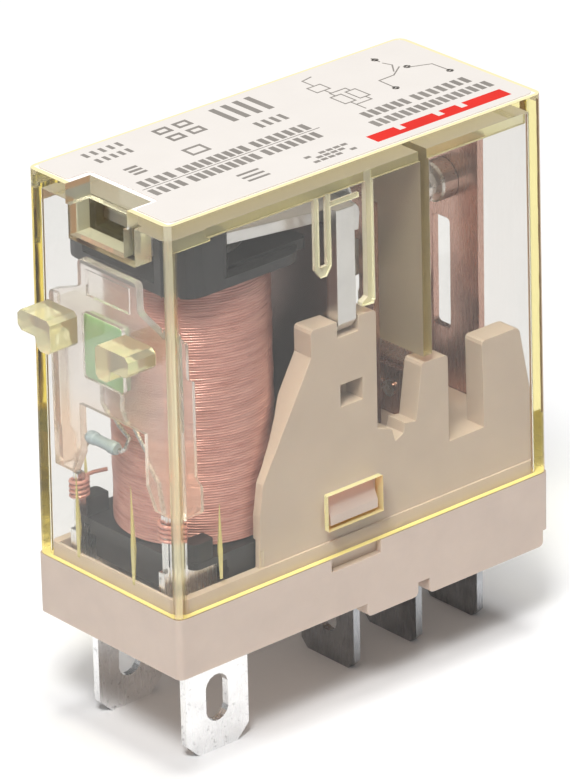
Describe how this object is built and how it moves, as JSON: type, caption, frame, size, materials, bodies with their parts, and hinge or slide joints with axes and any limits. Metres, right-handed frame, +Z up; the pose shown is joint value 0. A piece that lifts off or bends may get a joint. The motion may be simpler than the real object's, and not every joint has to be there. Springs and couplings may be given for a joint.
{
  "type": "plug-in relay",
  "caption": "Slim plug-in power relay with flat blades, a beige base and a clear clip-on cover over a hinged armature, coil, changeover contact and indicator lamp.",
  "frame": {"origin": "middle of the base's flat underside, where it sits on its socket", "axes": "+X along the length towards the three contact blades, +Y towards the far long side, +Z up out of the socket"},
  "size_m": [0.0309, 0.0126, 0.035],
  "materials": {
    "base_polyester": "beige moulded thermosetting polyester, satin",
    "clear_cover": "clear moulded polycarbonate with a yellow tint in its edges, glossy",
    "label_film": "off-white printed film, satin",
    "bobbin_nylon": "charcoal moulded nylon, satin",
    "winding_wire": "fine enamelled copper wire, wound in layers, semi-gloss",
    "plated_iron": "nickel-plated soft iron",
    "tinned_terminal": "tin-plated brass sheet",
    "contact_terminal": "copper alloy sheet, its plug-in blade nickel-plated",
    "contact_silver": "silver alloy, satin",
    "spring_steel": "bright spring steel strip",
    "card_nylon": "natural nylon",
    "clear_carrier": "clear moulded polycarbonate, slightly milky",
    "green_lens": "pale green translucent lens",
    "resistor_lacquer": "lacquered body",
    "tinned_wire": "tinned copper wire"
  },
  "bodies": {
    "frame": {"base": "base_polyester", "bobbin": "bobbin_nylon", "coil_lead_far": "winding_wire", "coil_lead_near": "winding_wire", "coil_terminal_far": "tinned_terminal", "coil_terminal_near": "tinned_terminal", "coil_winding": "winding_wire", "common_terminal": "contact_terminal", "core": "plated_iron", "cover": "clear_cover", "hinge_spring": "spring_steel", "indicator_frame": "clear_carrier", "indicator_lamp": "green_lens", "indicator_resistor": "resistor_lacquer", "lamp_lead_far": "tinned_wire", "lamp_lead_near": "tinned_wire", "normally_closed_contact": "contact_silver", "normally_closed_terminal": "contact_terminal", "normally_open_contact": "contact_silver", "normally_open_terminal": "contact_terminal", "resistor_lead": "tinned_wire", "spring_rivet_1": "tinned_wire", "spring_rivet_2": "tinned_wire", "top_label": "label_film", "yoke": "plated_iron"},
    "armature": {"armature": "plated_iron"},
    "actuator_card": {"actuator_card": "card_nylon"},
    "moving_contact_spring": {"moving_spring": "contact_terminal", "moving_contact": "contact_silver"}
  },
  "joints": [
    {"name": "armature_hinge", "type": "hinge", "parent": "frame", "child": "armature", "pos_m": [-0.0001, 0, 0.02395], "axis": [0, -1, 0], "range_deg": [0, 5.5], "stiffness_Nm_per_rad": 0.005, "springref_deg": -5.73},
    {"name": "card_slide", "type": "slide", "parent": "frame", "child": "actuator_card", "axis": [1, 0, 0], "range_m": [0, 0.00052]},
    {"name": "contact_spring_flex", "type": "hinge", "parent": "frame", "child": "moving_contact_spring", "pos_m": [0.0079, 0, 0.0096], "axis": [0, 1, 0], "range_deg": [0, 2.1]}
  ],
  "couplings": [
    {"joint": "card_slide", "follows": "armature_hinge", "m_per_rad": 0.00535},
    {"joint": "contact_spring_flex", "follows": "armature_hinge", "ratio": 0.367}
  ]
}
